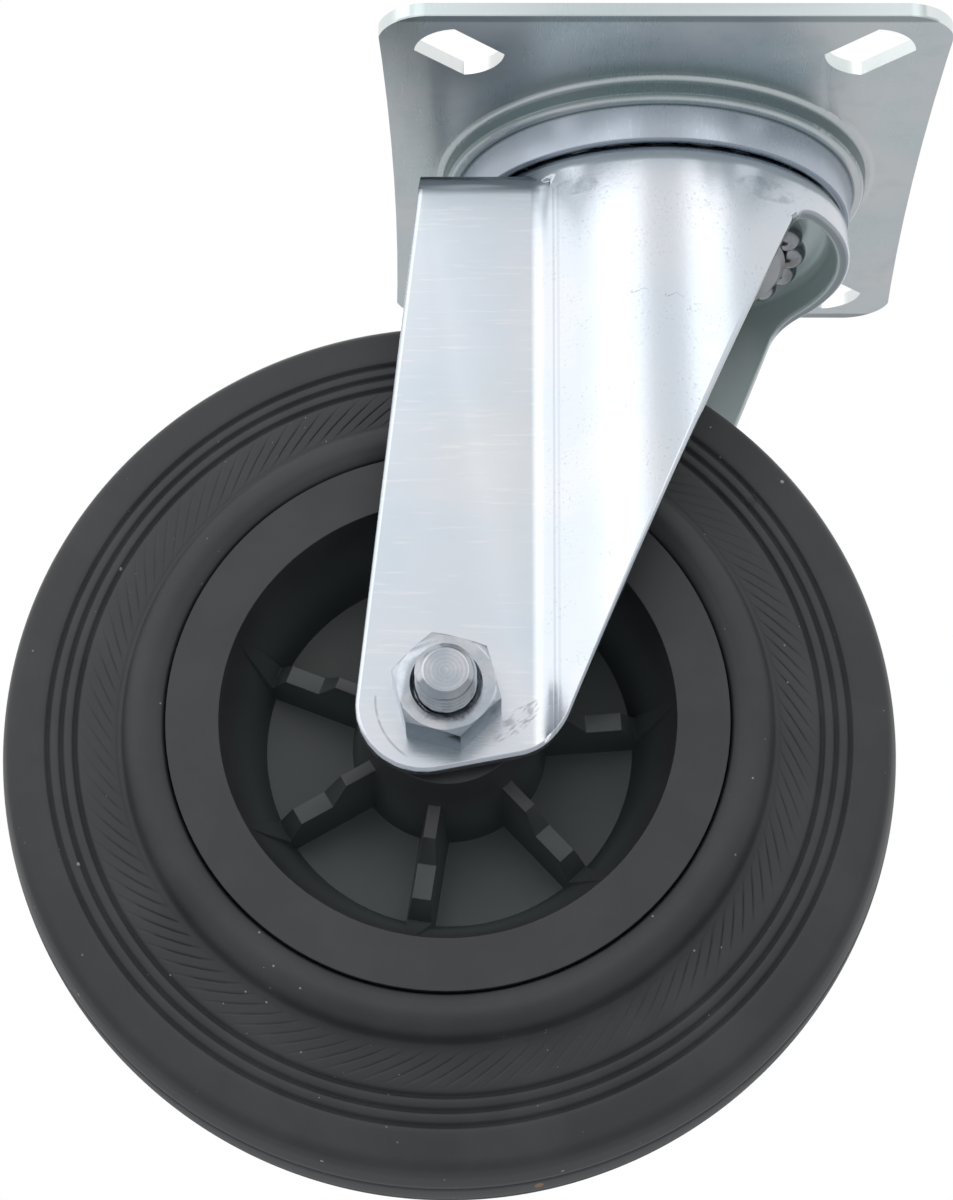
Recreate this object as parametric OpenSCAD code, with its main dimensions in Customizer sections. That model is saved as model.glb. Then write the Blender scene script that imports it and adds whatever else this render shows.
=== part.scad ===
// Swivel castor: a pressed top plate, a fork on two rings of balls, and a rubber-tyred wheel.
// Frame: origin at the centre of the plate's top face, on the swivel axis. +Z up, axle along Y.
// The wheel trails towards -X and the axle nut is on the -Y side. Lengths in millimetres.

/* [Plate] */
// Width of the plate along X
plate_w = 97.2; // [85:0.1:110]
// Depth of the plate along Y
plate_d = 117.5; // [105:0.5:130]
// Thickness of the pressed sheet, plate and fork
sheet_t = 2.5; // [2:0.1:3]
// Radius of the plate's corners
corner_r = 9; // [5:0.5:15]
// Inward bow of the plate's long edges at their middle
side_bow = 1.3; // [0:0.1:1.5]
// Inward bow of the plate's short edges at their middle
end_bow = 0.1; // [0:0.1:1]
// Distance of each slot's centre inside the plate's long edges
slot_in_x = 13.8; // [12:0.1:15]
// Distance of each slot's centre inside the plate's short edges
slot_in_y = 12.05; // [11:0.05:14]
// Width of a slot between its flats
slot_w = 9.8; // [8:0.1:11]
// Length of a slot between its rounded ends
slot_l = 15.4; // [13:0.1:18]
// Stand-out of the pressed boss beyond the fork's drum, at its foot
boss_margin = 4.5; // [3:0.1:6]
// Depth of the pressed boss under the plate
boss_drop = 4.1; // [3.8:0.1:5]
// Bend radius at the foot and the edge of the boss
boss_bend_r = 1.35; // [1:0.05:1.6]
// Stand-out of the collar under the boss beyond the fork's drum, at its top
collar_out = 0.9; // [0.5:0.1:1.2]
// Lean of the collar from its top in to its lower edge
collar_lean = 0.75; // [0.4:0.05:0.9]
// Wall of the collar
collar_t = 1.2; // [1:0.1:1.4]
// Gap between the collar's lower edge and the fork's shoulder
collar_gap = 0.45; // [0.3:0.05:0.6]
// Radius of the collar's lower edge
collar_edge_r = 0.5; // [0.2:0.05:0.5]

/* [Swivel head] */
// Diameter of the balls in both rings
ball_d = 6.35; // [5.5:0.05:7]
// Least space between neighbouring balls
ball_space = 0.75; // [0.2:0.05:1.5]
// Radius of the upper ball circle
upper_race_r = 27.3; // [25:0.1:29]
// Step of the lower ball circle inside the upper one
race_step = 3; // [2:0.1:4]
// Depth of the upper grooves in the boss and the fork head
upper_groove = 0.625; // [0.4:0.025:0.9]
// Depth of the lower groove in the fork head
lower_groove = 0.5; // [0.3:0.05:0.7]
// Clearance between a ball and its groove
ball_clear = 0.03; // [0.02:0.01:0.06]
// Radius of the king pin's shoulder
pin_r = 9; // [8:0.1:10]
// Radius of the king pin's riveted ends
pin_end_r = 6.5; // [5.5:0.1:7]
// Radius of the rivet heads
rivet_r = 11; // [9:0.1:13]
// Height of the rivet heads
rivet_h = 2.6; // [2:0.1:2.7]
// Clearance between the king pin and the fork head
pin_clear = 1.5; // [0.8:0.1:2.5]
// Step of the lower race's edge inside its ball circle
race_edge = 0.7; // [0.3:0.1:1.5]
// Thickness of the lower race
race_t = 4; // [3.6:0.1:4.6]

/* [Fork] */
// Stand-out of the fork's drum beyond the upper ball circle
drum_margin = 7.8; // [7:0.1:9]
// Outer radius of the bend round the top of the drum
shoulder_r = 5; // [3.5:0.1:5.5]
// Half width of the fork over its flat legs
leg_half = 28.4; // [27.6:0.1:29]
// Drop from the head to the top of the flat legs
leg_drop = 3.3; // [2.8:0.1:4.5]
// Outer radius of the bend at the top of the flat legs
leg_bend_r = 4; // [3:0.1:5]
// Radius of the fold between a flat leg and the drum
fold_r = 6; // [4:0.1:7]
// Height of the drum's front lip under the plate's top
lip_depth = 20.5; // [19:0.1:23]
// Radius of the curve from the lip into the leg
lip_fillet_r = 6; // [3:0.1:8]
// Radius of the leg's heel, behind the axle
heel_r = 11.4; // [10:0.1:12.5]
// Distance of the heel's centre behind the axle
heel_back = 3.7; // [2:0.1:5]
// Radius of the leg's toe, ahead of the axle
toe_r = 11.3; // [10:0.1:13]
// Distance of the toe's centre ahead of the axle
toe_ahead = 9.7; // [8:0.1:13]
// Depth of the heel's centre under the axle
heel_drop = 1; // [0:0.1:3]
// Rise of the toe's centre over the axle
toe_rise = 1.5; // [0:0.1:5]
// Distance of the leg's back edge behind the swivel axis, at the plate
back_x = 40.1; // [38:0.1:41]
// Distance of the leg's front edge ahead of the swivel axis, at the lip
front_x = 24; // [22:0.1:27]

/* [Axle] */
// Offset of the axle behind the swivel axis
axle_off = 36.3; // [33:0.1:40]
// Depth of the axle under the plate's top
axle_drop = 112; // [108:0.5:116]
// Diameter of the axle bolt
bolt_d = 10; // [9.8:0.05:10]
// Size across the flats of the bolt head and nut
hex_af = 16; // [16:0.1:17]
// Turn of the nut about the axle
nut_turn = -15; // [-30:1:30]
// Thickness of the nut
nut_t = 8.4; // [7.5:0.1:9]
// Height of the bolt head
bolt_head_t = 6.4; // [6:0.1:7]
// Length of thread that stands out of the nut
bolt_out = 6.2; // [3:0.1:8]
// Radial clearance of the bolt in the fork and the sleeve
bolt_clear = 0.15; // [0.1:0.05:0.3]
// Wall of the axle sleeve
sleeve_t = 1.45; // [1:0.05:2]
// Diameter of the bearing rollers
roller_d = 3.5; // [3:0.1:3.6]
// Number of rollers
roller_n = 10; // [8:1:11]
// Length of the rollers
roller_l = 34; // [26:0.5:38]
// Clearance of a roller in its track
roller_clear = 0.03; // [0.02:0.01:0.05]
// Outer radius of the thrust washers
washer_r = 10.9; // [10.7:0.1:11.2]
// Thickness of the thrust washers
washer_t = 1.2; // [1:0.1:1.4]
// Side clearance of the washers
side_gap = 0.15; // [0.1:0.05:0.25]

/* [Wheel] */
// Diameter of the wheel over the tread
wheel_d = 152; // [148:1:156]
// Half width of the wheel centre over the rim faces
rim_half = 20.4; // [19:0.1:22]
// Height of the tyre over the rim
tyre_h = 29.2; // [26:0.1:32]
// Thickness of the rim's edge under the tyre bead
rim_lip = 2.5; // [2:0.1:4]
// Width of the rim face
rim_face = 8.8; // [7:0.1:10]
// Step from the rim face in to where its dished wall meets the web
dish_in = 6.8; // [5:0.1:9]
// Thickness of the web
web_t = 3; // [2:0.1:4]
// Outer radius of the hub
hub_r = 16.5; // [15:0.1:18]
// Outer radius of the hub at its ends
hub_end_r = 13.2; // [12.8:0.1:13.6]
// Number of ribs on each side of the web
rib_n = 7; // [5:1:9]
// Width of a rib at the web
rib_root_w = 5.2; // [4:0.1:6]
// Width of a rib at its top
rib_top_w = 2.1; // [1.6:0.1:3]
// Height of a rib over the mid plane, at the hub
rib_high = 15.5; // [13:0.1:18]
// Length of a rib's flat top beyond the hub's end
rib_flat = 6.8; // [5:0.1:8]
// Height over the mid plane of the dip between a rib's pad and the dished wall
rib_low = 5.5; // [4:0.1:7]
// Stand-out of a rib where it runs up the dished wall
rib_ridge = 0.95; // [0.6:0.05:1.2]
// Turn of the first rib from the front
rib_turn = 4.4; // [-20:0.1:20]
// Radius of the middle of each rib's pad
pad_r = 26.1; // [25.5:0.1:26.5]
// Length of each rib's pad
pad_l = 6; // [4:0.1:8]
// Height of each rib's pad over the mid plane
pad_high = 10.2; // [9:0.1:11]
// Depth of the rim's channel under the tyre
seat_depth = 5.8; // [4.5:0.1:7]
// Half width of the rim's channel
seat_half = 12; // [9:0.1:14]
// Radius of the tread's crown across its width
crown_r = 50; // [40:1:80]
// Half width of the tread
tread_half = 11.6; // [10:0.1:12.4]
// Radius of the tread's shoulder
tread_edge_r = 2.4; // [1.5:0.1:3]
// Stand-out of the tyre's shoulder beyond the tread
tread_out = 1.4; // [1:0.1:2]
// Stand-out of the tyre's side beyond the tread, at the ring grooves
side_out = 2.3; // [1.8:0.1:3]
// Height of the tyre's bead bulge over the rim
bead_h = 8.1; // [7.5:0.1:9]
// Radius of the bead bulge across its section
bead_bulge_r = 3.6; // [3:0.1:4]
// Stand-out of the bead bulge beyond the rim face
bead_out = 0.5; // [0:0.1:1]
// Depth of the first ring groove inside the tread
groove_in = 13.5; // [12:0.1:15]
// Spacing of the ring grooves
groove_pitch = 2.35; // [1.8:0.05:2.6]
// Depth of the ring grooves
groove_d = 0.6; // [0.3:0.05:0.9]

/* [Hidden] */
$fn = 72;
steel = [0.78, 0.8, 0.83];
dark_steel = [0.62, 0.64, 0.66];
rubber = [0.22, 0.22, 0.22];
moulding = [0.27, 0.27, 0.27];
cage_colour = [0.85, 0.84, 0.8];
eps = 0.01;
big = 300;
bevel = 1;
cage_gap = 0.35;
cage_end = 2.5;
thread_bevel = 1.4;
nut_sink = 0.9;
head_turn = 20;
rib_sink = 1.5;
bead_step = 0.7;
side_taper = 0.28;

// Heights down the swivel axis
ball_r = ball_d / 2;
ball_pitch = ball_d + ball_space;
head_gap = ball_d - 2 * upper_groove;
boss_z = -sheet_t - boss_drop;
dish_z = boss_z + sheet_t;
head_z = boss_z - head_gap;
head_under = head_z - sheet_t;
upper_ball_z = (boss_z + head_z) / 2;
lower_ball_z = head_under + lower_groove - ball_r;
race_top = lower_ball_z;
race_under = lower_ball_z - race_t;
leg_z = head_z - leg_drop;

// Radii about the swivel axis
lower_race_r = upper_race_r - race_step;
race_ring_r = lower_race_r - race_edge;
drum_r = upper_race_r + drum_margin;
boss_r = drum_r + boss_margin;
collar_r = drum_r + collar_out;
collar_in = collar_r - collar_lean - collar_t;
collar_z = head_z - shoulder_r
    + sqrt(pow(shoulder_r + collar_gap, 2) - pow(collar_in - drum_r + shoulder_r, 2));
upper_ball_n = floor(2 * PI * upper_race_r / ball_pitch);
lower_ball_n = floor(2 * PI * lower_race_r / ball_pitch);

// Slot pattern
slot_span_x = plate_w - 2 * slot_in_x;
slot_span_y = plate_d - 2 * slot_in_y;

// Fork outline
fold_y = leg_half + fold_r;
fold_x = sqrt(pow(drum_r + fold_r, 2) - pow(fold_y, 2));
leg_inner = leg_half - sheet_t;
heel = [-axle_off - heel_back, -axle_drop - heel_drop];
toe = [-axle_off + toe_ahead, -axle_drop + toe_rise];
back_top = [-back_x, 0];
lip_corner = [front_x, -lip_depth];

// Wheel
tread_r = wheel_d / 2;
rim_r = tread_r - tyre_h;
rim_in_r = rim_r - rim_face;
dish_r = rim_in_r - dish_in;
seat_r = rim_r - seat_depth;
bead_r = rim_r + bead_h;
groove_r = tread_r - groove_in;
side_half = tread_half + side_out;
sleeve_r = bolt_d / 2 + bolt_clear + sleeve_t;
tread_edge_top = tread_r - crown_r + sqrt(crown_r * crown_r - tread_half * tread_half);
track_r = sleeve_r + roller_d + 2 * roller_clear;
pitch_r = (sleeve_r + track_r) / 2;
hub_half = leg_inner - 2 * side_gap - washer_t;
cage_l = roller_l + 2 * cage_end;

// Tangent point, on a circle, of the line from a point to the circle, on the chosen side
function tangent_point(p, c, r, side) =
    let (d = p - c, l = norm(d), a = atan2(d[1], d[0]) + side * acos(r / l))
    c + r * [cos(a), sin(a)];

// Points on a circular arc
function arc_points(c, r, a0, a1, n) =
    [for (i = [0:n]) let (a = a0 + (a1 - a0) * i / n) c + r * [cos(a), sin(a)]];

// Plate
function bowed_edge(half, length, bow, n) =
    [for (i = [0:n - 1]) let (s = -1 + 2 * i / n) [half - bow * (1 - s * s), s * length]];

module turned(side, a, length, bow) {
    rotate(a) polygon(concat([[0, 0]], bowed_edge(side, length, bow, 8), [[side, length]]));
}

module plate_outline() {
    wide = plate_w / 2;
    deep = plate_d / 2;
    intersection() {
        union() {
            turned(wide, 0, deep, side_bow);
            turned(wide, 180, deep, side_bow);
            turned(deep, 90, wide, end_bow);
            turned(deep, 270, wide, end_bow);
        }
        union() {
            square([plate_w - 2 * corner_r, plate_d + 2], center = true);
            square([plate_w + 2, plate_d - 2 * corner_r], center = true);
            for (x = [-1, 1])
                for (y = [-1, 1])
                    translate([x * (wide - corner_r), y * (deep - corner_r)]) circle(corner_r);
        }
    }
}

module slot_shape() {
    intersection() {
        circle(d = slot_l);
        square([slot_l + 1, slot_w], center = true);
    }
}

// Half section of the pressed boss, from the swivel axis to its foot
module boss_section() {
    foot = [boss_r, -sheet_t - boss_bend_r];
    edge = [boss_r - 2 * boss_bend_r, boss_z + boss_bend_r];
    over_r = boss_bend_r + sheet_t;
    difference() {
        union() {
            translate([0, boss_z]) square([edge[0], sheet_t]);
            translate(edge) circle(boss_bend_r);
            translate([boss_r - over_r, edge[1]]) square([sheet_t, foot[1] - edge[1]]);
            translate([boss_r - over_r, dish_z]) square([sheet_t, foot[1] - dish_z + eps]);
            intersection() {
                translate(foot) circle(over_r);
                translate([boss_r - over_r, foot[1]]) square([over_r, over_r]);
            }
        }
        translate(foot) circle(boss_bend_r);
    }
}

// Half section of the collar that hides the upper balls
module collar_section() {
    low = collar_r - collar_lean;
    polygon(concat(
        [[collar_in, boss_z + eps], [collar_in, collar_z]],
        arc_points([low - collar_edge_r, collar_z + collar_edge_r], collar_edge_r, -90, 0, 4),
        [[collar_r, boss_z + eps]]));
}

module ball_groove(r, z) {
    rotate_extrude() translate([r, z]) circle(ball_r + ball_clear);
}

module top_plate() {
    color(steel) difference() {
        union() {
            translate([0, 0, -sheet_t]) linear_extrude(sheet_t) difference() {
                plate_outline();
                circle(boss_r);
                for (x = [-1, 1])
                    for (y = [-1, 1])
                        translate([x * slot_span_x / 2, y * slot_span_y / 2]) rotate(x * y * 45) slot_shape();
            }
            rotate_extrude() boss_section();
            rotate_extrude() collar_section();
        }
        ball_groove(upper_race_r, upper_ball_z);
        translate([0, 0, boss_z - 1]) cylinder(r = pin_end_r, h = sheet_t + 2);
    }
}

// King pin: a shoulder between two riveted ends
module king_pin() {
    color(dark_steel) rotate_extrude() polygon([
        [0, dish_z + rivet_h], [rivet_r - rivet_h, dish_z + rivet_h], [rivet_r, dish_z + bevel], [rivet_r, dish_z],
        [pin_end_r, dish_z], [pin_end_r, boss_z], [pin_r, boss_z], [pin_r, race_top],
        [pin_end_r, race_top], [pin_end_r, race_under], [rivet_r, race_under], [rivet_r, race_under - bevel],
        [rivet_r - rivet_h, race_under - rivet_h], [0, race_under - rivet_h]]);
}

module lower_race() {
    color(dark_steel) difference() {
        rotate_extrude() polygon([
            [pin_end_r, race_top], [race_ring_r - bevel, race_top], [race_ring_r, race_top - bevel],
            [race_ring_r, race_under + bevel], [race_ring_r - bevel, race_under], [pin_end_r, race_under]]);
        ball_groove(lower_race_r, lower_ball_z);
    }
}

module ball_ring(r, z, n) {
    for (i = [0:n - 1])
        rotate(i * 360 / n) translate([r, 0, z]) sphere(d = ball_d, $fn = 24);
}

module upper_balls() {
    color(steel) ball_ring(upper_race_r, upper_ball_z, upper_ball_n);
}

module lower_balls() {
    color(steel) ball_ring(lower_race_r, lower_ball_z, lower_ball_n);
}

// Plan of the fork's upright walls: drum, folds and flat legs, all of the sheet's thickness
module ring_2d(outer) {
    difference() {
        circle(outer);
        circle(outer - sheet_t);
    }
}

module drum_plan() {
    intersection() {
        ring_2d(drum_r);
        polygon([[0, 0], 3 * [-fold_x, -fold_y], [big, -3 * fold_y], [big, 3 * fold_y], 3 * [-fold_x, fold_y]]);
    }
}

// Sector of the plan that one fold takes, from the flat leg to the drum
module fold_wedge() {
    polygon([[-fold_x, -fold_y], [0, 0], [-fold_x, 0]]);
}

module leg_plan() {
    translate([-big / 2, -leg_half]) square([big / 2 - fold_x, sheet_t]);
    intersection() {
        translate([-fold_x, -fold_y]) ring_2d(fold_r + sheet_t);
        fold_wedge();
    }
}

// An upright wall on a plan, from far below up to a height
module wall(top) {
    translate([0, 0, -big]) linear_extrude(big + top) children();
}

// Section of a leg's bent top, outwards along X, with its edge at a distance from the start
module bent_top(edge) {
    flat = edge - leg_bend_r;
    translate([0, leg_z - sheet_t]) square([flat, sheet_t]);
    translate([flat, leg_z - leg_bend_r]) intersection() {
        ring_2d(leg_bend_r);
        square(leg_bend_r + 1);
    }
}

// The same bend carried round the fold, where the leg's outside is the hollow side
module fold_top() {
    far = fold_x + fold_y;
    intersection() {
        translate([-fold_x, -fold_y]) rotate_extrude() translate([fold_r + far, 0]) mirror([1, 0]) bent_top(far);
        translate([0, 0, leg_z - leg_bend_r]) linear_extrude(leg_bend_r + 1) fold_wedge();
    }
}

// Web between the legs, with the bend down to each of them
module leg_top() {
    difference() {
        union() {
            for (side = [-1, 1])
                scale([1, side, 1]) {
                    translate([-fold_x, 0]) rotate([90, 0, -90]) linear_extrude(big / 2) bent_top(leg_half);
                    fold_top();
                }
        }
        translate([0, 0, leg_z - big / 2]) cylinder(r = drum_r - sheet_t, h = big);
    }
}

// Half section of the head: flat top, rounded shoulder and the top of the drum
module head_section() {
    flat = drum_r - shoulder_r;
    translate([0, head_under]) square([flat, sheet_t]);
    translate([flat, head_z - shoulder_r]) intersection() {
        ring_2d(shoulder_r);
        square(shoulder_r + 1);
    }
    translate([drum_r - sheet_t, leg_z - sheet_t]) square([sheet_t, head_z - shoulder_r - leg_z + sheet_t]);
}

// Side view of the fork, X across and Z up
module fork_side() {
    heel_back_p = tangent_point(back_top, heel, heel_r, 1);
    toe_front_p = tangent_point(lip_corner, toe, toe_r, -1);
    low = toe - heel;
    slope = atan2(low[1], low[0]) + asin((heel_r - toe_r) / norm(low)) - 90;
    heel_low_p = heel + heel_r * [cos(slope), sin(slope)];
    toe_low_p = toe + toe_r * [cos(slope), sin(slope)];
    run = lip_corner - toe_front_p;
    lean = atan2(run[1], run[0]);
    fillet_c = lip_corner + lip_fillet_r * [1 / tan((180 - lean) / 2), -1];
    fillet_p = lip_corner - lip_fillet_r / tan((180 - lean) / 2) * [cos(lean), sin(lean)];
    polygon([back_top, heel_back_p, heel, heel_low_p, toe_low_p, toe, toe_front_p, lip_corner,
             [big, -lip_depth], [big, 0]]);
    translate(heel) circle(heel_r);
    translate(toe) circle(toe_r);
    difference() {
        polygon([lip_corner, fillet_p, fillet_c, [fillet_c[0], -lip_depth]]);
        translate(fillet_c) circle(lip_fillet_r);
    }
}

// Keeps what lies inside the fork's side view
module trimmed() {
    intersection() {
        children();
        rotate([90, 0, 0]) linear_extrude(big, center = true) fork_side();
    }
}

module fork() {
    color(steel) difference() {
        union() {
            trimmed() wall(leg_z - sheet_t) drum_plan();
            trimmed() wall(leg_z - leg_bend_r) leg_plan();
            trimmed() wall(leg_z - leg_bend_r) mirror([0, 1]) leg_plan();
            trimmed() leg_top();
            rotate_extrude() head_section();
        }
        ball_groove(upper_race_r, upper_ball_z);
        ball_groove(lower_race_r, lower_ball_z);
        translate([0, 0, head_under - 1]) cylinder(r = pin_r + pin_clear, h = sheet_t + 2);
        on_axle() cylinder(r = bolt_d / 2 + bolt_clear, h = big, center = true);
    }
}

// Moves a shape made along +Z onto the axle, with +Z turned to +Y
module on_axle() {
    translate([-axle_off, 0, -axle_drop]) rotate([-90, 0, 0]) children();
}

// Hexagon with its corners turned down at the top
module hex(h) {
    corner = hex_af / sqrt(3);
    down = (corner - hex_af / 2) / sqrt(3);
    intersection() {
        cylinder(r = corner, h = h, $fn = 6);
        rotate_extrude() polygon([[0, 0], [corner, 0], [corner, h - down], [hex_af / 2, h], [0, h]]);
    }
}

module axle_bolt() {
    tip = leg_half + nut_t + bolt_out;
    r = bolt_d / 2;
    color(dark_steel) on_axle() {
        translate([0, 0, leg_half]) rotate(head_turn) hex(bolt_head_t);
        rotate_extrude() polygon([
            [0, leg_half + eps], [r, leg_half + eps], [r, thread_bevel - tip], [r - thread_bevel, -tip], [0, -tip]]);
    }
}

module axle_nut() {
    color(dark_steel) on_axle() difference() {
        translate([0, 0, -leg_half]) rotate([180, 0, 0]) rotate(nut_turn) hex(nut_t);
        cylinder(d = bolt_d, h = big, center = true);
        translate([0, 0, -leg_half - nut_t - eps])
            cylinder(r1 = bolt_d / 2 + nut_sink, r2 = bolt_d / 2, h = nut_sink);
    }
}

module axle_sleeve() {
    color(dark_steel) on_axle() difference() {
        cylinder(r = sleeve_r, h = 2 * leg_inner, center = true);
        cylinder(r = bolt_d / 2 + bolt_clear, h = big, center = true);
    }
}

module thrust_washers() {
    color(dark_steel) on_axle() for (side = [-1, 1])
        translate([0, 0, side * (leg_inner - side_gap - washer_t / 2)]) difference() {
            cylinder(r = washer_r, h = washer_t, center = true);
            cylinder(r = sleeve_r, h = washer_t + 1, center = true);
        }
}

// Half section of the wheel centre, radius across and width up
module rim_section() {
    web = web_t / 2;
    polygon([
        [track_r, -hub_half], [hub_end_r, -hub_half], [hub_r, -web], [dish_r, -web],
        [rim_in_r, -rim_half], [rim_r, -rim_half], [rim_r, rim_lip - rim_half], [seat_r, -seat_half],
        [seat_r, seat_half], [rim_r, rim_half - rim_lip], [rim_r, rim_half], [rim_in_r, rim_half],
        [dish_r, web], [hub_r, web], [hub_end_r, hub_half], [track_r, hub_half]]);
}

// One rib along +X, standing up from the web: flat top, pad, dip and a ridge up the dished wall
module rib() {
    start = hub_end_r - bevel;
    end = rim_in_r + rib_sink;
    ridge_top = rim_half - bevel;
    wall_lean = dish_in / (rim_half - web_t / 2);
    edge_w = rib_root_w - (rib_root_w - rib_top_w) * rim_half / rib_high;
    intersection() {
        rotate([90, 0, 0]) linear_extrude(2 * rib_root_w, center = true) polygon([
            [start, 0], [end, 0], [end, ridge_top], [rim_in_r - wall_lean * bevel, ridge_top],
            [dish_r + wall_lean * (rib_low - web_t / 2) - rib_ridge, rib_low],
            [pad_r + pad_l / 2, pad_high], [pad_r - pad_l / 2, pad_high],
            [hub_end_r + rib_flat, rib_high], [start, rib_high]]);
        rotate([90, 0, 90]) linear_extrude(big) polygon([
            [-rib_root_w / 2, 0], [rib_root_w / 2, 0], [edge_w / 2, rim_half], [-edge_w / 2, rim_half]]);
        cylinder(r1 = dish_r + rib_sink, r2 = rim_in_r + rib_sink, h = rim_half);
    }
}

module rim() {
    color(moulding) on_axle() union() {
        rotate_extrude() rim_section();
        for (i = [0:rib_n - 1])
            rotate(-rib_turn + i * 360 / rib_n) {
                rib();
                mirror([0, 0, 1]) rib();
            }
    }
}

// Outer half section of the tyre on one side, from the rim face to the tread's middle
function groove_notch(i) =
    let (r = groove_r + i * groove_pitch, y = side_half - side_taper * i)
    [[r - groove_d, y], [r, y - groove_d], [r + groove_d, y]];

function bead_points() =
    let (c = [rim_r + bead_bulge_r, rim_half + bead_out - bead_bulge_r])
    concat(
        [[rim_r, rim_half]],
        arc_points(c, bead_bulge_r, 120, 20, 6),
        [[bead_r, rim_half - bead_bulge_r], [bead_r, side_half + 2 * bead_step],
         [bead_r + bead_step, side_half + bead_step]]);

function tread_points() =
    let (c = [tread_edge_top - tread_edge_r, tread_half + tread_out - tread_edge_r])
    concat(
        arc_points(c, tread_edge_r, 80, 15, 5),
        [for (i = [0:5]) let (y = (tread_half - tread_edge_r / 2) * (1 - i / 5))
            [tread_r - crown_r + sqrt(crown_r * crown_r - y * y), y]]);

module tyre_section() {
    side = concat(bead_points(), groove_notch(0), groove_notch(1), groove_notch(2), tread_points());
    last = len(side) - 1;
    polygon(concat(
        [[rim_r, rim_half - rim_lip]], side,
        [for (i = [1:last]) [side[last - i][0], -side[last - i][1]]],
        [[rim_r, rim_lip - rim_half], [seat_r, -seat_half], [seat_r, seat_half]]));
}

module tyre() {
    color(rubber) on_axle() rotate_extrude($fn = 96) tyre_section();
}

module roller_cage() {
    color(cage_colour) on_axle() difference() {
        cylinder(r = track_r - cage_gap, h = cage_l, center = true);
        cylinder(r = sleeve_r + cage_gap, h = cage_l + 1, center = true);
        for (i = [0:roller_n - 1])
            rotate(i * 360 / roller_n) translate([pitch_r, 0, 0])
                cylinder(d = roller_d + cage_gap, h = roller_l + cage_gap, center = true, $fn = 24);
    }
}

module rollers() {
    color(steel) on_axle() for (i = [0:roller_n - 1])
        rotate(i * 360 / roller_n) translate([pitch_r, 0, 0])
            cylinder(d = roller_d, h = roller_l, center = true, $fn = 24);
}

top_plate();
king_pin();
lower_race();
upper_balls();
lower_balls();
fork();
axle_bolt();
axle_nut();
axle_sleeve();
thrust_washers();
rim();
tyre();
roller_cage();
rollers();
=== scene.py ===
"""Looks of the swivel castor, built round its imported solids.

Metres, +Z up, axle along Y, wheel towards -X. Shapes and finishes are written in millimetres."""
import math

import bmesh
import bpy
import numpy as np
from mathutils import Euler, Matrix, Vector


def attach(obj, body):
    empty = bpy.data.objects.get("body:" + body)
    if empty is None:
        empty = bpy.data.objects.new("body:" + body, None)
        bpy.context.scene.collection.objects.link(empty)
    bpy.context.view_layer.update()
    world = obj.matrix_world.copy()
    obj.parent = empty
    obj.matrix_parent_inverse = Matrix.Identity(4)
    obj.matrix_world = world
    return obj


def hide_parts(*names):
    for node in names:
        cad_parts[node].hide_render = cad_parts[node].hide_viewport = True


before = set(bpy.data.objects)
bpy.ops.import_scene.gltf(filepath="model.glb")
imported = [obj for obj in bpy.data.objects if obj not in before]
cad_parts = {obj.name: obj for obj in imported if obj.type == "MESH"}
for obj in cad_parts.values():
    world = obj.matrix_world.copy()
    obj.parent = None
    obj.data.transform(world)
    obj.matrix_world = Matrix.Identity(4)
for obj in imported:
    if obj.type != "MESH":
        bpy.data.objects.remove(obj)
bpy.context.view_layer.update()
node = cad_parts

MM = 0.001
AXLE_X, AXLE_Z = -36.3, -112.0          # the axle's place, millimetres
AXLE = np.array([AXLE_X, 0.0, AXLE_Z])  # centre of the wheel
TURN = 2 * math.pi


# ---- mesh helpers ----

def add_piece(name, points, faces, body, part, smooth):
    """Puts points (millimetres) and faces into a mesh at the origin; edges sharper than `smooth` degrees
    stay crisp."""
    mesh = bpy.data.meshes.new(name)
    mesh.from_pydata((points * MM).tolist(), [], faces)
    mesh.validate()
    mesh.shade_smooth()
    mesh.set_sharp_from_angle(angle=math.radians(smooth))
    piece = bpy.data.objects.new(name, mesh)
    bpy.context.scene.collection.objects.link(piece)
    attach(piece, body)
    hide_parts(part)
    return piece


def ring_faces(start_a, start_b, n_a, n_b):
    """Faces between two closed rings: quads when both have n points, fans of three when one has twice as
    many."""
    i = np.arange(min(n_a, n_b))
    j = (i + 1) % len(i)
    if n_a == n_b:
        return np.stack([start_a + i, start_a + j, start_b + j, start_b + i], 1).tolist()
    few, many, flip = (start_a, start_b, False) if n_a < n_b else (start_b, start_a, True)
    k = 2 * i
    near, mid, far = many + k, many + k + 1, many + (k + 2) % (2 * len(i))
    fans = [np.stack(t, 1) for t in ((few + i, mid, near), (few + i, few + j, mid), (few + j, far, mid))]
    faces = np.concatenate(fans)
    return (faces[:, ::-1] if flip else faces).tolist()


def ringed(rows, loop):
    """Points and faces of a surface made of closed rings, row after row; `loop` joins the last row to the
    first, and otherwise each end is closed by one face."""
    start = np.cumsum([0] + [len(r) for r in rows])
    faces = []
    for a in range(len(rows) - (0 if loop else 1)):
        b = (a + 1) % len(rows)
        faces += ring_faces(start[a], start[b], len(rows[a]), len(rows[b]))
    if not loop:
        faces.append(list(range(len(rows[0])))[::-1])
        faces.append(list(range(start[-2], start[-1])))
    return np.concatenate(rows), faces


def about_axle(r, q, turn):
    """Points at radius r and distance q towards -Y from the wheel's middle, at angle `turn` from +X
    towards +Z."""
    return AXLE + np.stack([r * np.cos(turn), -q + 0 * turn, r * np.sin(turn)], -1)


def step(x, lo, hi):
    """Smooth rise from 0 at lo to 1 at hi."""
    t = np.clip((x - lo) / (hi - lo), 0, 1)
    return t * t * (3 - 2 * t)


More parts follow.
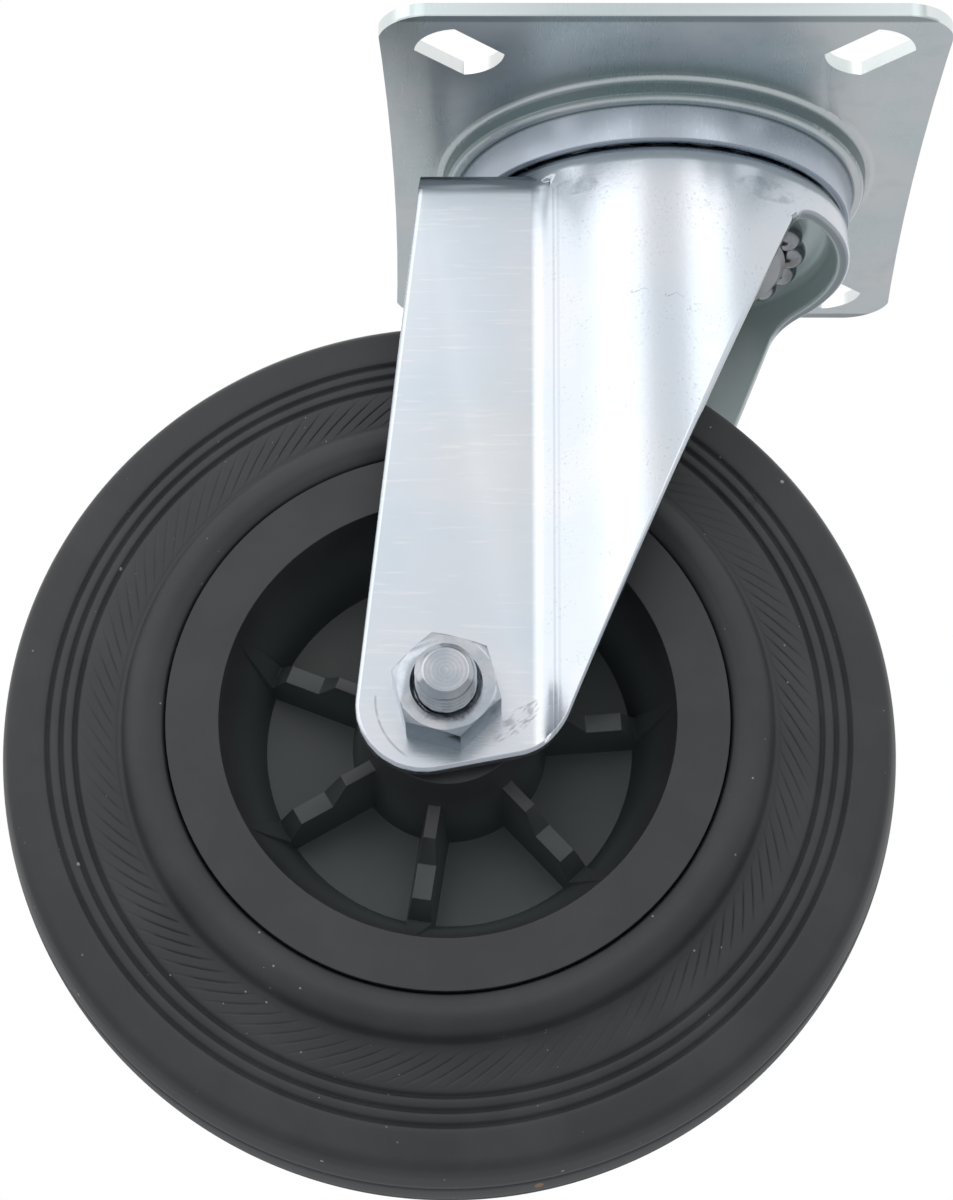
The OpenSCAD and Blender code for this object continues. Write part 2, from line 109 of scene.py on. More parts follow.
MERGE = 1e-6                        # points nearer than this are one, metres
FLAT_ANGLE = 0.6                    # faces that meet flatter than this are joined, degrees
STRIP = 0.03                        # least height of a fold's strip, metres
FOLD_FOOT = (-0.0225, 0, -0.1188)   # a point of the cut across the folds' strips, metres
FOLD_SLOPE = (-0.6, 0, 1)           # the way that the cut faces
SNAP = 1e-7                         # points nearer to the cut than this lie on it, metres
UPRIGHT = 0.999                     # an edge with this share of its length in height is upright


def softened(name, part, body, width, smooth=32, below=None, bend=None):
    """A copy of a solid's mesh, merged and with flat areas joined, whose sharp edges get a small round of
    `width` mm; with `below`, only the slanted edges that reach under that height in mm. The long strips
    between the two x of `bend` are cut across near their foot, along its slope, so that the round's shading
    ends there."""
    mesh = node[part].data.copy()
    mesh.name = name
    bm = bmesh.new()
    bm.from_mesh(mesh)
    bmesh.ops.remove_doubles(bm, verts=bm.verts, dist=MERGE)
    bmesh.ops.dissolve_limit(bm, angle_limit=math.radians(FLAT_ANGLE), verts=bm.verts, edges=bm.edges)
    if bend:
        for face in bm.faces:
            ups = [v.co.z for v in face.verts]
            within = all(bend[0] < v.co.x / MM < bend[1] for v in face.verts)
            face.tag = within and max(ups) - min(ups) > STRIP
        strips = [face for face in bm.faces if face.tag]
        sides = [edge for edge in bm.edges if any(face.tag for face in edge.link_faces)]
        bmesh.ops.bisect_plane(bm, geom=strips + sides, dist=SNAP, plane_co=FOLD_FOOT, plane_no=FOLD_SLOPE)
    if below is not None:
        weight = bm.edges.layers.float.new("bevel_weight_edge")
        for edge in bm.edges:
            a, b = (v.co for v in edge.verts)
            slanted = abs(a.z - b.z) < UPRIGHT * (a - b).length
            edge[weight] = float(min(a.z, b.z) < below * MM and slanted
                                 and edge.calc_face_angle(0.0) > math.radians(smooth))
    bm.to_mesh(mesh)
    bm.free()
    mesh.shade_smooth()
    mesh.set_sharp_from_angle(angle=math.radians(smooth))
    piece = bpy.data.objects.new(name, mesh)
    bpy.context.scene.collection.objects.link(piece)
    rounding = piece.modifiers.new("edge_round", "BEVEL")
    rounding.width = width * MM
    rounding.segments = 3
    rounding.limit_method = "ANGLE" if below is None else "WEIGHT"
    rounding.angle_limit = math.radians(smooth)
    rounding.use_clamp_overlap = below is None
    rounding.harden_normals = True
    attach(piece, body)
    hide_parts(part)
    return piece


# ---- tyre ----

PLAIN = 354          # points round a plain ring; grooved rings have twice as many, hatched ones four times
PAD = (39.0, 81.0)   # bare pad on the nut side, degrees
HATCH = 118          # fine slanting lines round each side
LEAN = 1.61          # how far a line falls back, in radians for each unit of the radius's natural logarithm
BAND = (55.4, 61.6)  # radii between which the lines run
LINE_DEPTH = 0.2     # depth of a line
LINE_HALF = 0.12     # half its width, as a share of the space from line to line
TREAD_R = 76.0       # the wheel's radius
GROOVE_R, GROOVE_Q = 62.5, 14.2   # the first groove's radius and half width
GROOVE_GAP = 2.35    # from groove to groove
# a groove's profile: way along the radius, depth
GROOVE = ((-0.66, 0), (-0.42, 0.16), (-0.2, 0.58), (0.06, 0.66), (0.3, 0.5), (0.5, 0.08), (0.7, 0))
CROWN = (10.3, 9.0, 7.4, 6.0, 4.75, 4.5, 4.3, 4.1, 3.85, 2.6, 1.3)   # places across the tread
SUNK = {4.5: 0.16, 4.3: 0.35, 4.1: 0.16}                              # depth of the thin line round the tread


def tyre_rows():
    """One side of the tyre from the rim out to the tread's middle: rows of (radius, half width, kind).
    Bead: an arc of 3.6 mm. Side: a hatched band, then three V grooves. Shoulder: an arc of 2.4 mm. Crown:
    an arc of 50 mm with a thin line sunk in it."""
    rows = [(41.0, 11.9, ""), (46.8, 17.9, ""), (46.95, 19.0, ""), (47.15, 19.6, ""), (47.55, 20.2, "")]
    for a in np.radians(np.linspace(118, 4, 13)):
        rows.append((50.4 + 3.6 * math.cos(a), 17.3 + 3.6 * math.sin(a), ""))
    rows += [(54.2, 16.6, ""), (54.42, 15.9, ""), (54.75, 15.4, "twice"), (55.3, 15.25, "twice")]
    rows += [(r, 15.2 - 0.145 * (r - 56.0), "hatch") for r in (55.45, 55.8, 57.0, 58.2, 59.4, 60.5, 61.5)]
    for i in range(3):
        r, q = GROOVE_R + GROOVE_GAP * i, GROOVE_Q - 0.3 * i
        rows += [(r + d, q - 0.1 * d - h, "groove%d" % i) for d, h in GROOVE]
    rows += [(68.6, 13.5, ""), (69.8, 13.36, ""), (71.0, 13.2, ""), (72.0, 13.06, "")]
    for a in np.radians(np.linspace(80, 15, 7)):
        rows.append((72.24 + 2.4 * math.cos(a), 10.6 + 2.4 * math.sin(a), ""))
    for q in CROWN:
        rows.append((TREAD_R - 50.0 + math.sqrt(50.0 ** 2 - q * q) - SUNK.get(q, 0.0), q, ""))
    return rows


def tyre_ring(r, q, kind, side):
    """One ring of the tyre. In the band its points fall back with the logarithm of the radius, so that each
    fine V line follows one row of points. Groove rings come up level across the pad, and one short line
    across closes the last two grooves where the pad starts."""
    n = PLAIN * {"": 1, "hatch": 4}.get(kind, 2)
    back = LEAN * math.log(min(max(r, BAND[0]), BAND[1]) / BAND[0])
    turn = np.arange(n) * TURN / n - back
    deep = np.zeros_like(turn)
    at = np.degrees(np.mod(turn, TURN))
    if kind == "hatch":
        across_line = np.abs(np.mod(np.arange(n) * HATCH / n, 1.0) - 0.5)
        patchy = 0.7 + 0.3 * np.sin(5 * turn + 1.3) * np.sin(2 * turn + 0.4)
        ends = step(r, BAND[0], BAND[0] + 0.4) * (1 - step(r, BAND[1] - 1.8, BAND[1]))
        deep = LINE_DEPTH * np.clip(1 - across_line / LINE_HALF, 0, 1) * patchy * ends
    if kind in ("groove1", "groove2") and side > 0:
        level = GROOVE_Q - 0.128 * (r - GROOVE_R)
        pad = step(at, PAD[0] - 0.3, PAD[0] + 0.3) * (1 - step(at, PAD[1] - 0.3, PAD[1] + 0.3))
        across = 0.4 * (1 - np.clip(np.abs(at - PAD[0] + 0.5) / 0.7, 0, 1)) * (64.85 < r < 67.2)
        deep = np.maximum((q - level - 0.12) * pad, across * (pad < 0.5))
    return about_axle(r, side * (q - deep), turn)


def make_tyre():
    """The tyre as one closed loop of rings: the nut side out to the tread's middle, then the far side back
    in to the rim."""
    near = tyre_rows()
    rings = [tyre_ring(*row, 1) for row in near] + [tyre_ring(TREAD_R, 0.0, "", 1)]
    rings += [tyre_ring(*row, -1) for row in near[::-1]]
    points, faces = ringed(rings, True)
    return add_piece("rubber_tyre", points, faces, "wheel", "tyre", smooth=50)


# ---- axle bolt ----

HEX_AF = 16.0        # head, across its flats
SHANK = 5.0          # radius
THREAD = 1.5         # pitch
THREAD_DEPTH = 0.86
THREAD_START = 35.2  # where the thread starts, towards -Y
TIP = -43.0          # the end's place along Y
CHAMFER = 1.05       # length of the cone at the end
END_RINGS = ((3.5, 0.0), (3.0, 0.1), (2.4, 0.02), (1.7, 0.1), (0.9, 0.03), (0.02, 0.1))   # radius, dip


def hexagon(turn, af, first):
    """Radius of a hexagon of width af across its flats, with a corner at angle `first`."""
    k = np.mod(turn - first, TURN / 6) - TURN / 12
    return af / 2 / np.cos(k)


def make_bolt():
    """Rings down the axle from the head to the tip. Head: a hexagon held under a cone. Shank: a circle.
    Thread: the radius falls by a flattened triangle once a pitch, and the pitch turns with the angle. End: a
    cone, then shallow turned rings."""
    n = 144
    turn = np.arange(n) * TURN / n
    circle = lambda r: np.full(n, r)
    six = hexagon(turn, HEX_AF, math.radians(-20))
    rows = [(circle(0.02), 34.62), (circle(5.0), 34.62), (circle(7.2), 34.75), (circle(7.8), 34.75)]
    rows += [(np.minimum(six, 7.95 + 1.7 * d), 34.8 - d) for d in np.linspace(0.05, 0.85, 9)]
    rows += [(six, 33.6), (six, 28.7), (six - 0.3, 28.4), (circle(SHANK), 28.4)]
    rows += [(circle(SHANK), y) for y in (10.0, -28.0, -35.0)]
    for y in np.arange(-THREAD_START, TIP - 1e-6, -0.125):
        phase = np.mod(y / THREAD + turn / TURN, 1.0)
        tooth = np.abs(2 * phase - 1)
        cut = THREAD_DEPTH * np.clip(1.25 * tooth - 0.12, 0, 1)
        edge = SHANK - 1.25 * max(0.0, CHAMFER - (y - TIP))
        rows.append((np.minimum(SHANK - cut * step(-y, THREAD_START, THREAD_START + 0.8), edge), y))
    rows += [(circle(r), TIP + dip) for r, dip in END_RINGS]
    rings = [about_axle(r, -y, turn) for r, y in rows]
    points, faces = ringed(rings, False)
    return add_piece("threaded_bolt", points, faces, "fork", "axle_bolt", smooth=38)


# ---- balls ----

BALL = 3.1           # radius, a hair under the solid's so that facets never graze the grooves


def make_balls(name, part, body, circle, count):
    """A ring of balls at the solid's own height: each is a sphere, given as level circles from its foot to
    its top."""
    solid = node[part].data
    spots = np.empty(3 * len(solid.vertices))
    solid.vertices.foreach_get("co", spots)
    ups = spots[2::3] / MM
    middle = (ups.min() + ups.max()) / 2
    turn = np.arange(32) * TURN / 32
    levels = np.radians(np.linspace(-88, 88, 17))
    points, faces = [], []
    for i in range(count):
        a = TURN * i / count
        rows = [np.stack([circle * math.cos(a) + BALL * math.cos(u) * np.cos(turn),
                          circle * math.sin(a) + BALL * math.cos(u) * np.sin(turn),
                          middle + BALL * math.sin(u) + 0 * turn], -1) for u in levels]
        ball, sides = ringed(rows, False)
        faces += [[k + i * len(ball) for k in side] for side in sides]
        points.append(ball)
    return add_piece(name, np.concatenate(points), faces, body, part, smooth=60)


# ---- finishes ----

class Wire:
    """A shader socket that takes part in Python arithmetic; each operation adds one Math node."""

    def __init__(self, finish, socket):
        self.finish, self.socket = finish, socket

    def math(self, operation, *others):
        values = {0: self} if not others else {0: others[0], 1: others[1]}
        return self.finish.node("ShaderNodeMath", {"operation": operation}, values)

    def __add__(self, other): return self.math("ADD", self, other)
    def __radd__(self, other): return self.math("ADD", other, self)
    def __sub__(self, other): return self.math("SUBTRACT", self, other)
    def __rsub__(self, other): return self.math("SUBTRACT", other, self)
    def __mul__(self, other): return self.math("MULTIPLY", self, other)
    def __rmul__(self, other): return self.math("MULTIPLY", other, self)
    def __truediv__(self, other): return self.math("DIVIDE", self, other)
    def most(self, other): return self.math("MAXIMUM", self, other)
    def abs(self): return self.math("ABSOLUTE")
    def root(self): return self.math("SQRT")

    def between(self, lo, hi):
        """Smooth 0 to 1 as the value goes from lo to hi."""
        return self.finish.node("ShaderNodeMapRange", {"interpolation_type": "SMOOTHSTEP", "clamp": True},
                                {0: self, 1: lo, 2: hi, 3: 0.0, 4: 1.0})


class Finish:
    """A procedural material on Object coordinates, in millimetres."""

    def __init__(self, name):
        self.mat = bpy.data.materials.new(name)
        self.mat.use_nodes = True
        self.tree = self.mat.node_tree
        self.tree.nodes.clear()
        place = self.node("ShaderNodeTexCoord", out="Object")
        self.place = self.node("ShaderNodeVectorMath", {"operation": "SCALE"}, {0: place, 3: 1000.0})
        split = self.tree.nodes.new("ShaderNodeSeparateXYZ")
        self.tree.links.new(self.place.socket, split.inputs[0])
        self.x, self.y, self.z = (Wire(self, s) for s in split.outputs)

    def node(self, kind, settings=None, values=None, out=0):
        """Adds a node: its settings first, then the values or links of its sockets; gives one output."""
        n = self.tree.nodes.new(kind)
        for key, value in (settings or {}).items():
            setattr(n, key, value)
        for key, value in (values or {}).items():
            if isinstance(value, Wire):
                self.tree.links.new(value.socket, n.inputs[key])
            else:
                n.inputs[key].default_value = value
        return Wire(self, n.outputs[out])

    def stretched(self, sx, sy, sz):
        """The place with each axis stretched, for grain that runs one way."""
        return self.node("ShaderNodeVectorMath", {"operation": "MULTIPLY"}, {0: self.place, 1: (sx, sy, sz)})

    def noise(self, size, place=None, detail=3.0, rough=0.55):
        """Noise from 0 to 1 whose lumps are about `size` mm."""
        return self.node("ShaderNodeTexNoise", {"noise_dimensions": "3D"},
                         {"Vector": place or self.place, "Scale": 1.0 / size,
                          "Detail": detail, "Roughness": rough})

    def specks(self, size, share):
        """1 inside small round specks, one in each cell of `size` mm, `share` of it wide."""
        near = self.node("ShaderNodeTexVoronoi", {"feature": "F1"},
                         {"Vector": self.place, "Scale": 1.0 / size})
        return 1.0 - near.between(share * 0.6, share)

    def from_axle(self):
        """Distances ahead of the axle, above it and straight out from it."""
        ahead, up = self.x - AXLE_X, self.z - AXLE_Z
        return ahead, up, (ahead * ahead + up * up).root()

    def from_swivel(self):
        """Distance straight out from the swivel axis."""
        return (self.x * self.x + self.y * self.y).root()

    def lens(self, u, cu, ru, v, cv, rv):
        """1 inside an oval at (cu, cv) with half sizes ru and rv, fading at its edge."""
        du, dv = (u - cu) / ru, (v - cv) / rv
        return 1.0 - (du * du + dv * dv).between(0.7, 1.2)

    def line(self, off, half):
        """1 along the line where `off` is zero, half a width of `half` mm to each side."""
        return 1.0 - off.abs().between(0.4 * half, half)

    def mix(self, share, a, b):
        """Colour a, going to colour b as share goes from 0 to 1."""
        pad = lambda c: c if isinstance(c, Wire) else (*c, 1)
        return self.node("ShaderNodeMix", {"data_type": "RGBA"}, {0: share, 6: pad(a), 7: pad(b)}, out=2)

    def surface(self, varying, height=None, bump=0.0, **fixed):
        """The Principled shader: varying inputs are links, fixed ones are set on its own sockets, and height
        feeds Normal."""
        n = self.tree.nodes.new("ShaderNodeBsdfPrincipled")
        for key, value in fixed.items():
            n.inputs[key.title()].default_value = value
        for key, value in varying.items():
            self.tree.links.new(value.socket, n.inputs[key])
        if height is not None:
            raised = self.node("ShaderNodeBump", {},
                               {"Strength": 1.0, "Distance": bump * MM, "Height": height})
            self.tree.links.new(raised.socket, n.inputs["Normal"])
        out = self.tree.nodes.new("ShaderNodeOutputMaterial")
        self.tree.links.new(n.outputs[0], out.inputs[0])
        return self.mat


def zinc_sheet():
    """Bright zinc on pressed sheet: bluish cloud, flat legs with level rolling grain, drawn drum with a fine
    peel, painted shade on the legs' top bends and on the drum's shoulder, press marks under the shoulder
    whose shading is painted in, a crease where the fold meets the drum with painted shade along it, a pale
    inside and sheared edges, and scuffs by the nut."""
    f = Finish("zinc_sheet")
    drawn = f.x.between(-23.0, -18.0)
    leg = 1.0 - drawn
    nut_side = (0.0 - f.y).between(18.0, 22.0)
    cloud = f.noise(22.0, detail=2.0)
    tint = f.noise(34.0, f.stretched(1.0, 1.0, 0.6), detail=1.0)
    flat = f.mix(cloud.between(0.3, 0.7), (0.55, 0.61, 0.67), (0.61, 0.63, 0.68))
    flat = f.mix(tint.between(0.52, 0.75) * 0.6, flat, (0.63, 0.64, 0.63))
    rolled = f.noise(1.0, f.stretched(0.12, 0.12, 1.6), detail=3.0).between(0.56, 0.7)
    flat = f.mix(rolled * 0.5, flat, (0.68, 0.69, 0.71))
    drum = f.mix(cloud.between(0.3, 0.7), (0.58, 0.63, 0.69), (0.63, 0.65, 0.69))
    grain = f.noise(1.0, f.stretched(0.09, 0.09, 2.6), detail=4.0)
    peel = f.noise(0.9, detail=3.0)
    pits = f.noise(0.5, detail=2.0).between(0.58, 0.70)
    pits = pits * f.noise(8.0, detail=2.0).between(0.40, 0.60) * drawn
    # painted shade: a dark band along the legs' top bends
    bend = f.z.between(-20.3, -19.0) * leg
    # painted shade: the drum's shoulder under the plate is made greyer
    shoulder = f.z.between(-17.5, -14.0) * drawn
    # press marks: the dents' shading is painted in as a darker patch; their added roughness is their own
    marks = f.lens(f.x, -14.8, 3.8, f.z, -20.0, 1.7).most(f.lens(f.x, 18.0, 5.2, f.z, -19.8, 2.2))
    marks = marks * nut_side * f.noise(2.6, detail=5.0).between(0.34, 0.70)
    # crease: its groove is a dip in the height, and the dark line along it is painted shade
    crease = f.line(f.x + 18.7, 0.26).most(f.line(f.x + 17.9, 0.3) * 0.6)
    crease = crease * f.y.abs().between(24.0, 25.5) * (1.0 - f.z.between(-19.5, -18.5))
    scratch = f.line(f.z + 41.6 + 9.0 * (f.noise(3.0, detail=3.0) - 0.5), 0.2)
    scratch = scratch * nut_side * f.noise(1.4).between(0.36, 0.5)
    scratch = scratch * f.x.between(-7.0, -5.0) * (1.0 - f.x.between(2.5, 4.5))
    swing = f.from_swivel()
    inside = (1.0 - swing.between(32.7, 33.4)) * drawn
    sheared = swing.between(32.8, 33.6) * (1.0 - swing.between(34.2, 34.9))
    sheared = sheared * drawn * (1.0 - f.z.between(-20.0, -18.5))
    ahead, up, out = f.from_axle()
    worn = f.noise(2.2, detail=3.0)
    arc = f.line(out - 11.7, 0.26) * (0.0 - ahead).between(6.0, 7.5)
    arc = arc * (1.0 - up.between(0.0, 1.0)) * worn.between(0.3, 0.5)
    along, aside = 0.74 * ahead + 0.67 * up, 0.67 * ahead - 0.74 * up
    slant = f.node("ShaderNodeCombineXYZ", {}, {0: 0.5 * along, 1: 1.5 * aside})
    streaks = f.noise(1.0, slant, detail=5.0)
    smear = f.lens(along, 6.0, 5.0, aside, 10.5, 1.7) * streaks.between(0.45, 0.62)
    colour = f.mix(drawn, flat, drum)
    colour = f.mix(pits * 0.3, colour, (0.31, 0.33, 0.35))
    colour = f.mix(bend * 0.72, colour, (0.16, 0.19, 0.22))
    colour = f.mix(shoulder * 0.5, colour, (0.50, 0.55, 0.59))
    colour = f.mix(marks * 0.65, colour, (0.28, 0.33, 0.36))
    # painted shade along the crease, together with the scratch's own dark wear
    colour = f.mix((crease * 0.3).most(scratch * 0.5), colour, (0.28, 0.30, 0.33))
    colour = f.mix((arc * 0.5).most(smear * 0.55) * nut_side, colour, (0.24, 0.24, 0.26))
    colour = f.mix(sheared * 0.85, colour, (0.24, 0.27, 0.28))
    colour = f.mix(inside * 0.9, colour, (0.82, 0.93, 0.91))
    rough = 0.17 + 0.1 * grain + 0.06 * cloud + 0.1 * marks + 0.12 * inside
    height = grain * leg * 0.35 + (peel * 0.45 + f.noise(0.32, detail=2.0) * 0.22) * drawn
    height = height - pits * 0.3 - crease * 0.5 - scratch * 0.4
    metal = 1.0 - 0.62 * inside
    return f.surface({"Base Color": colour, "Roughness": rough, "Metallic": metal}, height, 0.02)


def zinc_plate():
    """Bright zinc on the plate, mottled grey-green, with painted shade under its rolled edges, painted shade
    on the wall and a painted highlight on the foot round the boss, and painted shade on the collar and in the
    corner above it."""
    f = Finish("zinc_plate")
    out = f.from_swivel()
    cloud = f.noise(26.0, detail=2.0)
    mottle = f.noise(6.0, detail=4.0)
    colour = f.mix(cloud.between(0.3, 0.7), (0.69, 0.76, 0.76), (0.80, 0.80, 0.80))
    colour = f.mix(mottle.between(0.5, 0.75) * 0.3, colour, (0.56, 0.63, 0.63))
    below = 1.0 - f.z.between(-2.35, -1.85)
    # painted shade: a dark band on the underside along the rolled edges
    rolled = f.y.abs().between(56.4, 57.2) * below
    sheared = f.y.abs().between(57.9, 58.2) * (1.0 - below)
    # painted shade: the boss's wall is darkened
    wall = out.between(37.7, 38.2) * (1.0 - out.between(38.9, 39.4)) * (1.0 - f.z.between(-3.4, -2.9))
    # painted shade: a dark line in the corner where the collar meets the boss's flat
    seam = out.between(35.7, 35.95) * (1.0 - out.between(36.2, 36.6)) * (1.0 - f.z.between(-6.5, -6.3))
    seam = seam * f.z.between(-7.1, -6.8)
    # painted highlight: a bright band on the foot round the boss
    foot = out.between(39.2, 39.5) * (1.0 - out.between(40.0, 40.4)) * below
    # painted shade: the collar is made greyer
    collar = out.between(33.0, 33.6) * (1.0 - out.between(36.05, 36.3)) * (1.0 - f.z.between(-7.0, -6.7))
    colour = f.mix(rolled * 0.75, colour, (0.29, 0.34, 0.35))
    colour = f.mix(sheared * 0.8, colour, (0.43, 0.49, 0.50))
    colour = f.mix((wall * 0.85).most(seam * 0.7), colour, (0.15, 0.21, 0.22))
    colour = f.mix(collar * 0.8, colour, (0.33, 0.38, 0.46))
    colour = f.mix(foot * 0.8, colour, (0.85, 0.86, 0.86))
    grain = f.noise(1.0, f.stretched(2.2, 0.1, 0.4), detail=4.0)
    rough = 0.2 + 0.1 * grain + 0.08 * cloud
    return f.surface({"Base Color": colour, "Roughness": rough}, grain, 0.005, metallic=1.0)


def zinc_fastener():
    """Bluish zinc on the nut and bolt: painted shade on the nut's lower facets and in the thread roots, and
    turned rings on the end.
    """
    f = Finish("zinc_fastener")
    up, out = f.from_axle()[1:]
    cloud = f.noise(5.0, detail=3.0)
    colour = f.mix(cloud.between(0.3, 0.7), (0.37, 0.41, 0.46), (0.51, 0.52, 0.55))
    # painted shade: the nut's lower facets are darkened
    facets = out.between(7.7, 7.95) * (1.0 - up.between(-4.2, -2.2)) * f.y.between(-36.6, -36.1)
    # painted shade: the thread's roots are darkened
    roots = (1.0 - out.between(4.35, 4.8)) * f.y.between(-42.0, -41.7) * (1.0 - f.y.between(-36.6, -36.2))
    colour = f.mix(facets * 0.75, colour, (0.20, 0.28, 0.31))
    colour = f.mix(roots * 0.85, colour, (0.12, 0.13, 0.14))
    turned = ((out * 1.5).math("FRACT") - 0.5).abs().between(0.1, 0.45) * (1.0 - f.y.between(-42.9, -42.6))
    colour = f.mix(turned * 0.2, colour, (0.28, 0.28, 0.27))
    grain = f.noise(0.5, detail=3.0)
    return f.surface({"Base Color": colour, "Roughness": 0.16 + 0.16 * grain}, grain, 0.012, metallic=1.0)


def oiled_steel():
    """Plain steel with a thin film of grease."""
    f = Finish("oiled_steel")
    cloud = f.noise(4.0, detail=3.0)
    colour = f.mix(cloud, (0.42, 0.42, 0.42), (0.56, 0.56, 0.57))
    return f.surface({"Base Color": colour, "Roughness": 0.26 + 0.2 * cloud}, cloud, 0.01, metallic=1.0)


def ball_steel():
    """Polished balls and rollers, smeared with grease."""
    f = Finish("ball_steel")
    smear = f.noise(3.0, detail=3.0)
    colour = f.mix(smear.between(0.4, 0.7), (0.42, 0.43, 0.45), (0.27, 0.27, 0.26))
    return f.surface({"Base Color": colour, "Roughness": 0.08 + 0.2 * smear}, smear, 0.004, metallic=1.0)


def black_rubber():
    """Black rubber with a faint grey bloom, fine mould grain, white dust and one rusty fleck on the tread."""
    f = Finish("black_rubber")
    bloom = f.noise(15.0, detail=4.0)
    colour = f.mix(bloom.between(0.35, 0.75), (0.029, 0.030, 0.032), (0.043, 0.044, 0.047))
    dust = f.specks(3.4, 0.06) * f.noise(14.0, detail=1.0).between(0.5, 0.62)
    dust = dust.most(f.specks(11.0, 0.035))
    dust = dust.most(f.specks(2.3, 0.05) * f.noise(9.0, detail=1.0).between(0.54, 0.64))
    colour = f.mix(dust * 0.75, colour, (0.45, 0.45, 0.44))
    fleck = f.lens(f.x, -21.1, 0.75, f.y, -1.0, 1.6) * (1.0 - f.z.between(-184.0, -182.0))
    colour = f.mix(fleck * 0.8, colour, (0.34, 0.15, 0.05))
    grain = f.noise(0.35, detail=3.0)
    return f.surface({"Base Color": colour, "Roughness": 0.44 + 0.16 * bloom + 0.08 * grain}, grain, 0.012)


def black_plastic():
    """Black moulded plastic with flow clouds and a fine satin grain, with painted light that lifts its
    recesses near the wheel's middle.
    """
    f = Finish("black_plastic")
    flow = f.noise(12.0, detail=4.0)
    colour = f.mix(flow.between(0.35, 0.75), (0.026, 0.027, 0.029), (0.037, 0.038, 0.040))
    # painted light: lighter towards the wheel's mid-plane, on the recessed web
    colour = f.mix((1.0 - f.y.abs().between(8.0, 19.5)) * 0.7, colour, (0.074, 0.088, 0.085))
    grain = f.noise(0.3, detail=2.0)
    return f.surface({"Base Color": colour, "Roughness": 0.38 + 0.14 * flow}, grain, 0.01)


def cage_plastic():
    """Off-white bearing cage, satin."""
    f = Finish("cage_plastic")
    cloud = f.noise(5.0, detail=2.0)
    colour = f.mix(cloud, (0.74, 0.72, 0.66), (0.82, 0.81, 0.76))
    return f.surface({"Base Color": colour, "Roughness": 0.4 + 0.15 * cloud})


# ---- pieces ----

tyre = make_tyre()
bolt = make_bolt()
fork = softened("pressed_fork", "fork", "fork", 0.8, below=-20.4, bend=(-22.6, -17.7))
plate = softened("pressed_plate", "top_plate", "plate", 0.35)
nut = softened("hex_nut", "axle_nut", "fork", 0.18)
rim = softened("wheel_centre", "rim", "wheel", 0.5)
upper_balls = make_balls("upper_ball_set", "upper_balls", "upper_ball_ring", 27.3, 24)
lower_balls = make_balls("lower_ball_set", "lower_balls", "lower_ball_ring", 24.3, 21)

DRESS = [
    (black_rubber(), [tyre]),
    (black_plastic(), [rim]),
    (zinc_sheet(), [fork]),
    (zinc_plate(), [plate]),
    (zinc_fastener(), [bolt, nut]),
    (oiled_steel(), [node["king_pin"], node["lower_race"], node["axle_sleeve"], node["thrust_washers"]]),
    (ball_steel(), [upper_balls, lower_balls, node["rollers"]]),
    (cage_plastic(), [node["roller_cage"]]),
]
for finish, dressed in DRESS:
    for piece in dressed:
        piece.data.materials.clear()
        piece.data.materials.append(finish)


# ---- stage ----

FLOOR_Z = -0.42                                  # metres
FLOOR_HALF = 20.0
MIDDLE = Vector((-0.02, 0.0, -0.08))             # what the lamps are aimed at
WHITE, SOFT = (1, 1, 1, 1), (0.69, 0.71, 0.74, 1)
VIEW_PLACE = (-0.02647, -0.54673, -0.28650)
VIEW_TURN = (110.3026, -0.2945, 0.4540)          # degrees
VIEW_LENS = 100.445                              # millimetres, for an upright side of 36
LAMPS = [                                        # azimuth, elevation, distance, width, height, glow
    ("box_left", -21, 25, 1.3, 0.5, 0.8, 0.85),
    ("box_right", 28, 25, 1.3, 0.48, 0.8, 0.85),
    ("box_side", -54, 18, 1.4, 1.1, 1.1, 0.54),
    ("box_back", 175, 55, 1.6, 1.4, 1.0, 1.8),
]


def make_floor():
    """A wide flat pale floor under the castor."""
    mesh = bpy.data.meshes.new("floor")
    corners = [(FLOOR_HALF * x, FLOOR_HALF * y, FLOOR_Z) for x, y in ((-1, -1), (1, -1), (1, 1), (-1, 1))]
    mesh.from_pydata(corners, [], [(0, 1, 2, 3)])
    floor = bpy.data.objects.new("floor", mesh)
    bpy.context.scene.collection.objects.link(floor)
    f = Finish("pale_floor")
    mottle = f.noise(90.0, detail=2.0)
    colour = f.mix(mottle, (0.54, 0.55, 0.56), (0.58, 0.59, 0.59))
    mesh.materials.append(f.surface({"Base Color": colour}, roughness=0.8))


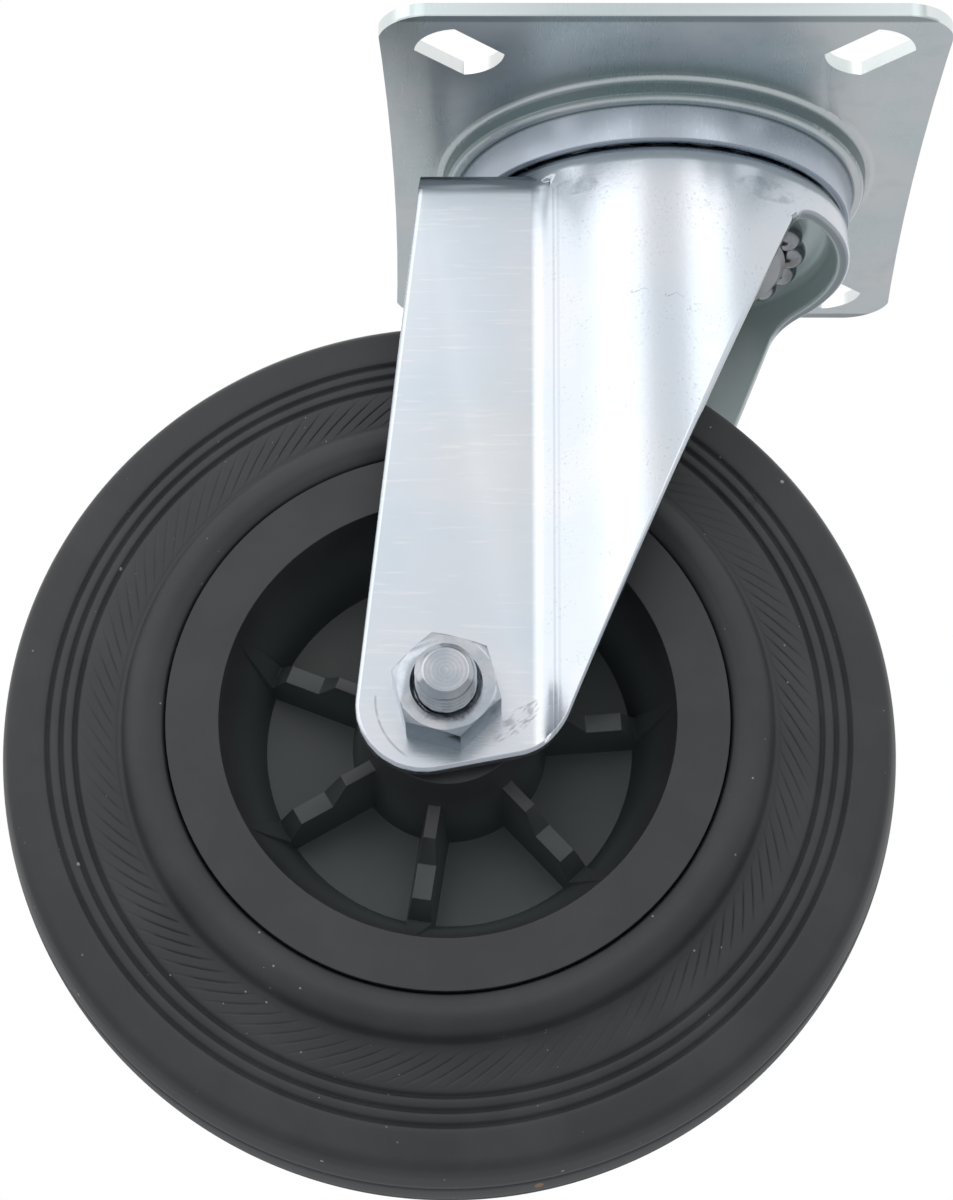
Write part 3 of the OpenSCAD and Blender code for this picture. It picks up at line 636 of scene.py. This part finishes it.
def soft_box(name, azimuth, elevation, distance, width, height, glow):
    """A white soft box aimed at the castor's middle; azimuth is counted from the nut side towards +X, glow is
    its radiance."""
    a, e = math.radians(azimuth), math.radians(elevation)
    way = Vector((math.sin(a) * math.cos(e), -math.cos(a) * math.cos(e), math.sin(e)))
    lamp = bpy.data.lights.new(name, "AREA")
    lamp.shape = "RECTANGLE"
    lamp.size, lamp.size_y = width, height
    lamp.energy = glow * math.pi * width * height
    box = bpy.data.objects.new(name, lamp)
    box.location = MIDDLE + distance * way
    box.rotation_euler = (-way).to_track_quat("-Z", "Y").to_euler()
    box.visible_camera = False
    bpy.context.scene.collection.objects.link(box)


def make_world():
    """White behind the castor, seen in its metal too, and a plain soft light on everything else."""
    world = bpy.data.worlds.new("studio")
    world.use_nodes = True
    tree = world.node_tree
    tree.nodes.clear()
    path = tree.nodes.new("ShaderNodeLightPath")
    level = tree.nodes.new("ShaderNodeMix")
    level.data_type = "RGBA"
    level.inputs[6].default_value = SOFT
    level.inputs[7].default_value = WHITE
    seen = path.outputs["Is Camera Ray"]
    for way in ("Is Glossy Ray", "Is Transmission Ray"):
        either = tree.nodes.new("ShaderNodeMath")
        either.operation = "MAXIMUM"
        tree.links.new(seen, either.inputs[0])
        tree.links.new(path.outputs[way], either.inputs[1])
        seen = either.outputs[0]
    tree.links.new(seen, level.inputs[0])
    light = tree.nodes.new("ShaderNodeBackground")
    tree.links.new(level.outputs[2], light.inputs[0])
    out = tree.nodes.new("ShaderNodeOutputWorld")
    tree.links.new(light.outputs[0], out.inputs[0])
    bpy.context.scene.world = world


def make_camera():
    """The photograph's viewing angle: from under the plate, a long lens."""
    lens = bpy.data.cameras.new("view")
    lens.sensor_fit = "VERTICAL"
    lens.sensor_height = 36.0
    lens.sensor_width = 36.0
    lens.lens = VIEW_LENS
    lens.clip_start = 0.01
    view = bpy.data.objects.new("view", lens)
    view.location = VIEW_PLACE
    view.rotation_euler = Euler([math.radians(a) for a in VIEW_TURN], "XYZ")
    bpy.context.scene.collection.objects.link(view)
    bpy.context.scene.camera = view


make_floor()
make_world()
make_camera()
for lamp in LAMPS:
    soft_box(*lamp)
bpy.context.scene.view_settings.view_transform = "Standard"
